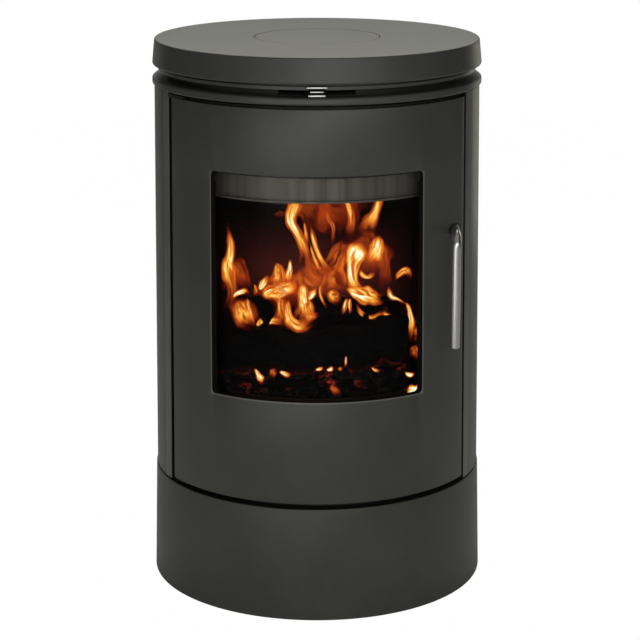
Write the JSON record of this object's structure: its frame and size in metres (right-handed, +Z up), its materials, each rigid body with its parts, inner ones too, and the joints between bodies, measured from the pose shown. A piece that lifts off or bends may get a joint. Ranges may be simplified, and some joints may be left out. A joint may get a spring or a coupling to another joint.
{
  "type": "wood stove",
  "caption": "Round free-standing wood stove with a curved glass door, bar handle, air slide, ash pan, rear flue spigot and plinth.",
  "frame": {"origin": "middle of the base, on the floor", "axes": "+Z up, the door faces -Y, the handle is on the +X side"},
  "size_m": [0.4753, 0.4754, 0.771],
  "materials": {
    "iron_paint": "matt heat-proof paint",
    "dark_steel": "matt black",
    "cast_grate": "raw casting",
    "fire_brick": "pressed vermiculite",
    "heat_steel": "heat-browned steel",
    "stainless": "brushed stainless",
    "zinc_steel": "zinc plated",
    "ceramic_glass": "clear ceramic glass",
    "rope_seal": "woven glass rope"
  },
  "bodies": {
    "root": {"floor_plate": "dark_steel", "plinth_shell": "iron_paint", "plinth_posts": "dark_steel", "base_plate": "dark_steel", "base_bolts": "zinc_steel", "casing_rail": "dark_steel", "side_casing_left": "iron_paint", "side_casing_right": "iron_paint", "rear_casing": "iron_paint", "casing_screws": "zinc_steel", "front_frame": "dark_steel", "firebox_wall": "dark_steel", "firebox_floor": "dark_steel", "firebox_top": "dark_steel", "blanking_plate": "dark_steel", "rear_flue_spigot": "iron_paint", "fire_brick_left": "fire_brick", "fire_brick_right": "fire_brick", "fire_brick_back": "fire_brick", "hearth_brick": "fire_brick", "fixed_grate": "cast_grate", "grate_hangers": "dark_steel", "baffle_plate": "fire_brick", "air_wash_deflector": "heat_steel", "log_guard": "dark_steel", "ash_pan_rails": "dark_steel", "body_top_plate": "dark_steel", "crown_ring": "iron_paint", "neck_ring": "dark_steel", "collar_ring": "iron_paint", "top_plate": "iron_paint", "lower_hinge_pin": "zinc_steel", "upper_hinge_pin": "zinc_steel", "latch_keeper": "zinc_steel"},
    "door": {"door_panel": "iron_paint", "door_glass": "ceramic_glass", "glass_seal": "rope_seal", "glass_clips": "zinc_steel", "glass_screws": "zinc_steel", "door_rope_seal": "rope_seal", "lower_hinge_eye": "dark_steel", "upper_hinge_eye": "dark_steel", "handle_bush": "dark_steel"},
    "handle": {"door_handle": "stainless", "latch_cam": "zinc_steel", "spindle_nut": "zinc_steel"},
    "air_control": {"air_slide": "stainless", "air_tab": "stainless"},
    "flue_cover": {"flue_cover": "iron_paint"},
    "riddler": {"riddling_grate": "cast_grate", "riddling_rod": "zinc_steel"},
    "ash_drawer": {"ash_pan": "dark_steel", "ash_pan_lip": "dark_steel"}
  },
  "joints": [
    {"name": "door_hinge", "type": "hinge", "parent": "root", "child": "door", "pos_m": [-0.19586, -0.11074, 0.435], "axis": [0, 0, -1], "range_deg": [0, 98], "deforming": ["latch_keeper"]},
    {"name": "handle_turn", "type": "hinge", "parent": "door", "child": "handle", "pos_m": [0.1865, -0.12, 0.526], "axis": [0, -1, 0], "range_deg": [0, 60]},
    {"name": "air_slide_turn", "type": "hinge", "parent": "root", "child": "air_control", "pos_m": [0, 0, 0.725], "axis": [0, 0, 1], "range_deg": [-9, 9]},
    {"name": "flue_cover_lift", "type": "slide", "parent": "root", "child": "flue_cover", "axis": [0, 0, 1], "range_m": [0, 0.06]},
    {"name": "riddling_slide", "type": "slide", "parent": "root", "child": "riddler", "axis": [0, 1, 0], "range_m": [0, 0.012]},
    {"name": "ash_pan_slide", "type": "slide", "parent": "root", "child": "ash_drawer", "axis": [0, -1, 0], "range_m": [0, 0.14]}
  ],
  "couplings": [
    {"joint": "ash_pan_slide", "follows": "door_hinge", "m_per_rad": 0.08}
  ]
}
